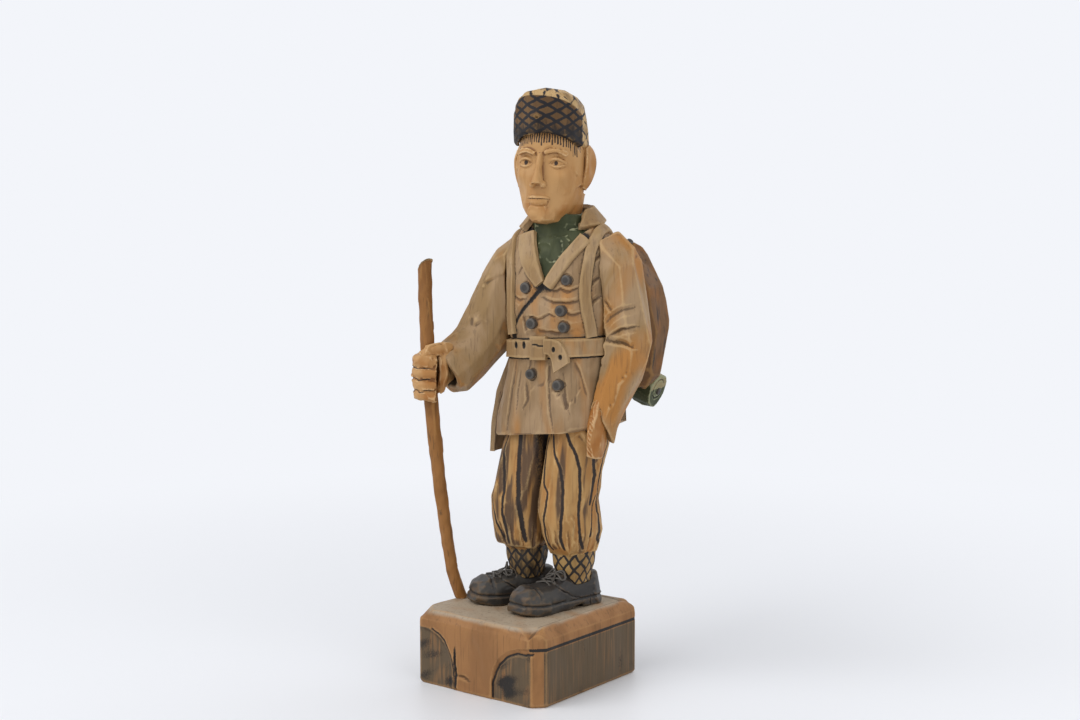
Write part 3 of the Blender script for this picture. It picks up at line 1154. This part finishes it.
def head():
    face = HEAD["face"]
    core = skin(tower(HEAD_CUTS, 0.7, 4.0, 0.88))
    p = core.points
    for side in (-1, 1):
        p = press(p, (11.5 * side, -face + 3, 43), (7.5, 9, 5), (0, 2.8, 0))
        p = press(p, (17 * side, -face + 9, 34), (6, 8, 5), (0.8 * side, -1.6, 0))
        p = press(p, (17 * side, -face + 9, 21), (6, 9, 8), (-1.4 * side, 1.6, 0))
        p = press(p, (25 * side, 0, 60), (6, 12, 8), (-1.0 * side, 0, 0))
    core.points = press(p, (0, -face, 58), (16, 8, 6), (0, -0.8, 0))
    parts = [core, skin(tower([(3, 8, -6, 16.5, 15, 15, 15, 0), (3, 8, 22, 20, 16, 16, 17, 0)], 0.8)),
             skin(limb([(0, -face + 3, 49, 2.6, 3), (0, -face, 40, 2.9, 3.6), (0, -face - 2.6, 31, 3.7, 4.4),
                        (0, -face - 2.8, 28, 4.0, 3.8)], 0.6, 2.0, BACK)),
             ball((0, -face + 6.4, 7.4), (10.5, 7.0, 7.2)),
             tube([(-8.6, -face + 2.4, 17.4), (-3, -face - 0.4, 18.6), (0, -face - 0.6, 18.1),
                   (3, -face - 0.4, 18.6), (8.6, -face + 2.4, 17.4)], 1.5),
             tube([(-7, -face + 2.4, 15.4), (0, -face - 0.2, 14.5), (7, -face + 2.4, 15.4)], 1.9)]
    for side in (-1, 1):
        parts.append(ball((11.8 * side, -face + 8.9, 43), (5.6, 4.2, 3.6)))
        parts.append(ball((4.3 * side, -face - 0.2, 27.8), (2.5, 3.2, 2.6)))
        parts += [tube(UPPER_LID, 1.15, side), tube(LOWER_LID, 0.95, side), tube(BROW, 1.5, side)]
        ear = [(24.5, 2, 25.5, 3, 2.6), (26.6, 4, 31, 6.6, 3.2), (28.4, 5.5, 39, 8.8, 3.4),
               (28.8, 6.2, 46, 9.4, 3.4), (27.4, 5.6, 52, 7.6, 3.2), (25.4, 4, 56, 4, 2.6)]
        lobe = skin(limb([(x * side, *rest) for x, *rest in ear], 0.6, 2.5, (side, 0, 0)))
        lobe.points = press(lobe.points, (31.5 * side, 4.5, 43), (3.5, 4.6, 7.5), (-2.6 * side, 0, 0))
        parts.append(lobe)
    form = together(parts)
    form.points = from_head(form.points)
    form = evened(form, 0.55)
    form.points = relaxed(form, 3)
    local = to_head(form.points)
    under_cap = np.clip((local[:, 2] - 60) / 5, 0, 1) * np.clip((local[:, 1] + 14) / 8, 0, 1)
    form.points = from_head(local * (1 - 0.12 * under_cap[:, None] * (1, 1, 0))
                            - UP * (0.6 * under_cap * (local[:, 2] - 60))[:, None])
    local = to_head(form.points)
    x, y, z = local.T
    eyes = np.exp(-(((np.abs(x) - 12) / 8) ** 2 + ((z - 43) / 6) ** 2) ** 2) * (y < 0)
    mouth_and_nose = np.exp(-((x / 10) ** 2 + ((z - 22) / 9) ** 2) ** 2) * (y < 0)
    whittle(form, 12, 1.3, 0.8, 91, where=np.clip(1 - (eyes + mouth_and_nose), 0, 1), ease=5)
    mouth = [(-8.8, -face + 1, 17.0), (-3, -face - 2.2, 16.7), (0, -face - 2.4, 16.4), (3, -face - 2.2, 16.7),
             (8.8, -face + 1, 17.0)]
    score(form, from_head(np.array(mouth)), 0.8, (0.8, 0.6), 0.75, 0.55, taper=0.3)
    for side in (-1, 1):
        for lid in (UPPER_LID, LOWER_LID):
            inner = [(x * side, y, z + (-1.2 if lid is UPPER_LID else 0.9)) for x, y, z in lid]
            score(form, from_head(np.array(inner)), 0.3, (0.6, 0.6), 0.55, 0.4, taper=0.4)
    local = to_head(form.points)
    x, y, z = local.T
    pupil = np.sqrt(((np.abs(x) - 11.6) / 1.7) ** 2 + ((z - 43.1) / 1.9) ** 2)
    form.mark("burn", np.clip(2.2 - 2 * pupil, 0, 1) * (y < -15))
    nostril = np.linalg.norm((np.abs(local) - (2.4, face + 2.2, 24.9)) / (1.4, 2.0, 1.2), axis=1)
    form.mark("burn", np.clip(1.8 - 1.4 * nostril, 0, 1) * (y < 0))
    form.mark("burn", hair_strokes(local) * 0.85)
    ears_and_neck = 0.35 * (np.abs(x) > 25) + 0.4 * (z < 14)
    form.mark("fresh", np.clip(ears_and_neck + 0.25 * wander(form.points, 30, 9), 0, 1))
    carved(form, "head", SKIN)


def cap_lattice(local, width, height, line):
    return lattice(local, HEAD["radius"], width, height, line, 0.05 * wander(local, 20, 3))


def cap_crown():
    """Pale and worn, with the lattice half rubbed away."""
    form = from_solid("cap_crown", 0.65, 4)
    whittle(form, 11, 1.0, 0.9, 97)
    local = to_head(form.points)
    form.mark("burn", cap_lattice(local, 12, 9, 0.3) * np.clip(0.62 + 0.5 * wander(local, 16, 6), 0, 1))
    form.mark("fresh", np.clip(0.75 + 0.4 * wander(local, 20, 8), 0, 1))
    carved(form, "cap_crown", CAP)


def cap_peak():
    """Turned up in front, a burnt lattice on its face and a pale rim with dark dashes."""
    form = from_solid("cap_peak", 0.6, 3)
    whittle(form, 12, 1.0, 0.5, 98)
    local = press(to_head(form.points), (0, -33, 75), (5, 4, 5), (0, -1.6, 0))
    form.points = from_head(local)
    angle = angle_round(local)
    rim = np.clip((local[:, 2] - 64 - 30 * (0.42 + 0.58 * np.cos(angle)) + 4.2) / 0.8, 0, 1)
    across = angle * HEAD["radius"]
    dashes = np.clip(1.3 - np.abs((across / 7.5 + 0.1 * wander(local, 9, 2)) % 1 - 0.5) * 2 / 0.3, 0, 1)
    form.mark("burn", cap_lattice(local, 11, 7.6, 0.36) * (1 - rim))
    form.mark("burn", rim * dashes * 0.8)
    form.mark("fresh", rim)
    form.mark("soot", (1 - rim) * np.clip((76 - local[:, 2]) / 14, 0, 0.8))
    carved(form, "cap_peak", CAP)


# Load on the back

def rucksack():
    form = from_solid("rucksack", 1.0, 9, 1.0)
    whittle(form, 19, 2.4, 1.8, 93, tilt=0.06)
    form.mark("fresh", np.clip(0.3 + 0.5 * wander(form.points, 40, 14), 0, 1))
    form.mark("soot", np.clip(0.9 * streaked(form.points, 12, 15) - 0.25, 0, 0.8))
    carved(form, "rucksack", SACK)


def bedroll():
    form = from_solid("bedroll", 0.8, 4)
    whittle(form, 9, 2.5, 0.9, 95, grain=(1, 0, 0))
    x = form.points[:, 0]
    form.mark("fresh", ((x > 47.5) | (x < -46)) * 1.0)
    form.mark("fresh", np.clip(form.normals()[:, 2] * 4 - 2.4, 0, 0.8))
    end = [(52, 64 + 8 * math.cos(a), 157 + 8 * math.sin(a)) for a in np.linspace(0.6, 6.2, 20)]
    score(form, end, 1.2, (1.2, 1.2), 0.6, 0.8, taper=0.2)
    carved(form, "bedroll", GREEN)


# Pegs and cords, set out by geometry nodes

def new_tree(name):
    tree = bpy.data.node_groups.new(name, "GeometryNodeTree")
    for label, kind in (("Geometry", "NodeSocketGeometry"), ("Radius", "NodeSocketFloat"),
                        ("Length", "NodeSocketFloat"), ("Material", "NodeSocketMaterial")):
        tree.interface.new_socket(label, in_out="INPUT", socket_type=kind)
    tree.interface.new_socket("Geometry", in_out="OUTPUT", socket_type="NodeSocketGeometry")
    return tree, add_node(tree, "NodeGroupInput")


def close_tree(tree, start, shapes):
    real = add_node(tree, "GeometryNodeRealizeInstances", {"Geometry": shapes})
    coloured = add_node(tree, "GeometryNodeSetMaterial", {
        "Geometry": real.outputs[0], "Material": start.outputs["Material"]})
    end = add_node(tree, "NodeGroupOutput")
    tree.links.new(coloured.outputs[0], end.inputs[0])
    return tree


def cord_tree():
    """Turns each line of the mesh into a round cord with closed ends."""
    tree, start = new_tree("Lay cords")
    line = add_node(tree, "GeometryNodeMeshToCurve", {"Mesh": start.outputs["Geometry"]})
    round_ = add_node(tree, "GeometryNodeCurvePrimitiveCircle", {
        "Resolution": 8, "Radius": start.outputs["Radius"]})
    cord = add_node(tree, "GeometryNodeCurveToMesh", {
        "Curve": line.outputs[0], "Profile Curve": round_.outputs["Curve"], "Fill Caps": True})
    return close_tree(tree, start, cord.outputs[0])


def peg_tree():
    """Sets a round peg with a domed head on every point, turned the way the point faces."""
    tree, start = new_tree("Set pegs")
    peg = add_node(tree, "GeometryNodeMeshCylinder", {
        "Vertices": 28, "Side Segments": 6, "Fill Segments": 5,
        "Radius": start.outputs["Radius"], "Depth": start.outputs["Length"]})
    where = add_node(tree, "GeometryNodeInputPosition")
    parts = add_node(tree, "ShaderNodeSeparateXYZ", {0: where.outputs[0]})
    flat = add_node(tree, "ShaderNodeCombineXYZ", {0: parts.outputs[0], 1: parts.outputs[1]})
    reach = add_node(tree, "ShaderNodeVectorMath", {0: flat.outputs[0]}, operation="LENGTH")
    share = math_of(tree, reach.outputs["Value"], start.outputs["Radius"], "DIVIDE")
    drop = math_of(tree, math_of(tree, share, 4.0, "POWER"), -0.12, "MULTIPLY")
    drop = math_of(tree, drop, start.outputs["Radius"], "MULTIPLY")
    top_only = math_of(tree, parts.outputs[2], 0.0, "GREATER_THAN")
    shift = add_node(tree, "ShaderNodeCombineXYZ", {2: math_of(tree, drop, top_only, "MULTIPLY")})
    domed = add_node(tree, "GeometryNodeSetPosition", {
        "Geometry": peg.outputs["Mesh"], "Offset": shift.outputs[0]})
    facing = add_node(tree, "GeometryNodeInputNamedAttribute", {"Name": "facing"}, data_type="FLOAT_VECTOR")
    turn = add_node(tree, "FunctionNodeAlignRotationToVector", {"Vector": facing.outputs[0]}, axis="Z")
    size = add_node(tree, "FunctionNodeRandomValue", {"Seed": 4}, data_type="FLOAT")
    size.inputs[2].default_value, size.inputs[3].default_value = 0.95, 1.06
    copies = add_node(tree, "GeometryNodeInstanceOnPoints", {
        "Points": start.outputs["Geometry"], "Instance": domed.outputs[0], "Rotation": turn.outputs[0]})
    tree.links.new(size.outputs[1], copies.inputs["Scale"])
    return close_tree(tree, start, copies.outputs[0])


def grown(mesh, tree, radius, length, material):
    """What the node tree makes of a mesh of points or lines, as a form, from sizes in millimetres."""
    work = bpy.data.objects.new("work", mesh)
    modifier = work.modifiers.new("grow", "NODES")
    modifier.node_group = tree
    values = {"Radius": radius / 1000, "Length": length / 1000, "Material": material}
    for item in tree.interface.items_tree:
        if item.name in values:
            modifier[item.identifier] = values[item.name]
    return settled(work)


def set_cords(name, routes, radius, material, tree):
    """Round cords along the routes."""
    points, lines = [], []
    for route in routes:
        fine = to_row(along(route, 0.7, 1.2))
        lines += [(len(points) + k, len(points) + k + 1) for k in range(len(fine) - 1)]
        points += fine.tolist()
    mesh = bpy.data.meshes.new(name)
    mesh.from_pydata(points, lines, [])
    finished(grown(mesh, tree, radius, 0, material), name, material)


def set_pegs(name, places, facings, radius, length, nodes, tree):
    """Round pegs whose middles are at the places, pointing the way they face."""
    mesh = bpy.data.meshes.new(name)
    mesh.from_pydata(to_row(np.array(places, float)).tolist(), [], [])
    turned = np.array(facings, float) @ ROW_TURN.T
    facing = mesh.attributes.new("facing", "FLOAT_VECTOR", "POINT")
    facing.data.foreach_set("vector", turned.astype(np.float32).ravel())
    finished(grown(mesh, tree, radius, length, PEG), name, PEG, nodes, sharp=60)


def pegs():
    tree = peg_tree()
    places = [on_front(x, z) + BACK * 1.9 for x, z in BUTTONS]
    names = [f"coat_button_{k + 1}" for k in range(len(BUTTONS))]
    set_pegs("coat_buttons", places, [-BACK] * len(places), 3.75, 8.2, names, tree)
    set_pegs("sack_knob", [(29, 46, 267)], [(0.62, -0.31, 0.72)], 2.5, 13, ["rucksack_knob"], tree)
    set_pegs("roll_centre", [(41.5, 63.8, 158.8)], [(0.94, 0.04, -0.33)], 2.5, 14, ["bedroll_core"], tree)


# Build

base_block()
CORDS = cord_tree()
for side in FEET:
    shoe(side)
    sock(side)
trouser_leg("left", LEFT_STRIPES, [100, 125, 150, 172])
trouser_leg("right", RIGHT_STRIPES, [-80, -105, -130, -155, 180])
coat()
rear_skirt()
belt()
buckle()
tongue()
collar()
for side in ("left", "right"):
    strap(side)
    lapel(side)
sweater()
left_sleeve()
right_sleeve()
right_hand()
left_hand()
walking_stick()
head()
cap_crown()
cap_peak()
rucksack()
bedroll()
pegs()
for name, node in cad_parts.items():
    if "dowel" in name:
        node.data.materials.clear()
        node.data.materials.append(DOWEL)


# Floor, light and camera

def floor():
    """A pale floor that takes the shadow near the figure and melts into the backdrop further out."""
    mesh = bpy.data.meshes.new("floor")
    mesh.from_pydata([(-9, -9, 0), (9, -9, 0), (9, 9, 0), (-9, 9, 0)], [], [(0, 1, 2, 3)])
    material = bpy.data.materials.new("pale_floor")
    material.use_nodes = True
    tree = material.node_tree
    shader = tree.nodes["Principled BSDF"]
    shader.inputs["Base Color"].default_value = colour("#e9ebef")
    shader.inputs["Roughness"].default_value = 0.45
    place = add_node(tree, "ShaderNodeTexCoord").outputs["Object"]
    reach = add_node(tree, "ShaderNodeVectorMath", {0: place}, operation="LENGTH").outputs["Value"]
    glow = add_node(tree, "ShaderNodeEmission", {"Color": colour("#f3f5fa"), "Strength": 1.0})
    both = add_node(tree, "ShaderNodeMixShader", {
        0: stretch_to(tree, reach, 0.16, 1.0), 1: shader.outputs[0], 2: glow.outputs[0]})
    tree.links.new(both.outputs[0], tree.nodes["Material Output"].inputs["Surface"])
    mesh.materials.append(material)
    item = bpy.data.objects.new("floor", mesh)
    bpy.context.scene.collection.objects.link(item)


def area_light(name, place, aim, size, power):
    data = bpy.data.lights.new(name, "AREA")
    data.size = size
    data.energy = power
    item = bpy.data.objects.new(name, data)
    item.location = place
    item.rotation_euler = (Vector(aim) - Vector(place)).to_track_quat("-Z", "Y").to_euler()
    bpy.context.scene.collection.objects.link(item)


def lights():
    area_light("key", (-0.7, -1.5, 1.6), (0, 0, 0.22), 1.8, 31)
    area_light("fill", (1.9, -0.4, 1.1), (0, 0, 0.2), 1.8, 12)
    area_light("rim", (0.3, 1.6, 1.4), (0, 0, 0.25), 1.8, 9)
    world = bpy.data.worlds.new("studio")
    world.use_nodes = True
    tree = world.node_tree
    backdrop = tree.nodes["Background"]
    backdrop.inputs["Color"].default_value = colour("#f3f5fa")
    backdrop.inputs["Strength"].default_value = 1.0
    soft = add_node(tree, "ShaderNodeBackground", {"Color": colour("#f4f4f6"), "Strength": 0.55})
    path = add_node(tree, "ShaderNodeLightPath")
    seen = math_of(tree, path.outputs["Is Camera Ray"], path.outputs["Is Glossy Ray"], "MAXIMUM")
    seen = math_of(tree, seen, path.outputs["Is Transmission Ray"], "MAXIMUM")
    both = add_node(tree, "ShaderNodeMixShader", {0: seen, 1: soft.outputs[0], 2: backdrop.outputs[0]})
    tree.links.new(both.outputs[0], tree.nodes["World Output"].inputs["Surface"])
    bpy.context.scene.world = world


def camera():
    data = bpy.data.cameras.new("camera")
    data.lens = 50
    data.sensor_width = 36
    item = bpy.data.objects.new("camera", data)
    item.location = (0.6872, -0.8687, 0.3367)
    item.rotation_euler = (math.radians(85), 0, math.radians(37.9))
    bpy.context.scene.collection.objects.link(item)
    bpy.context.scene.camera = item


floor()
lights()
camera()
bpy.context.scene.view_settings.view_transform = "Standard"
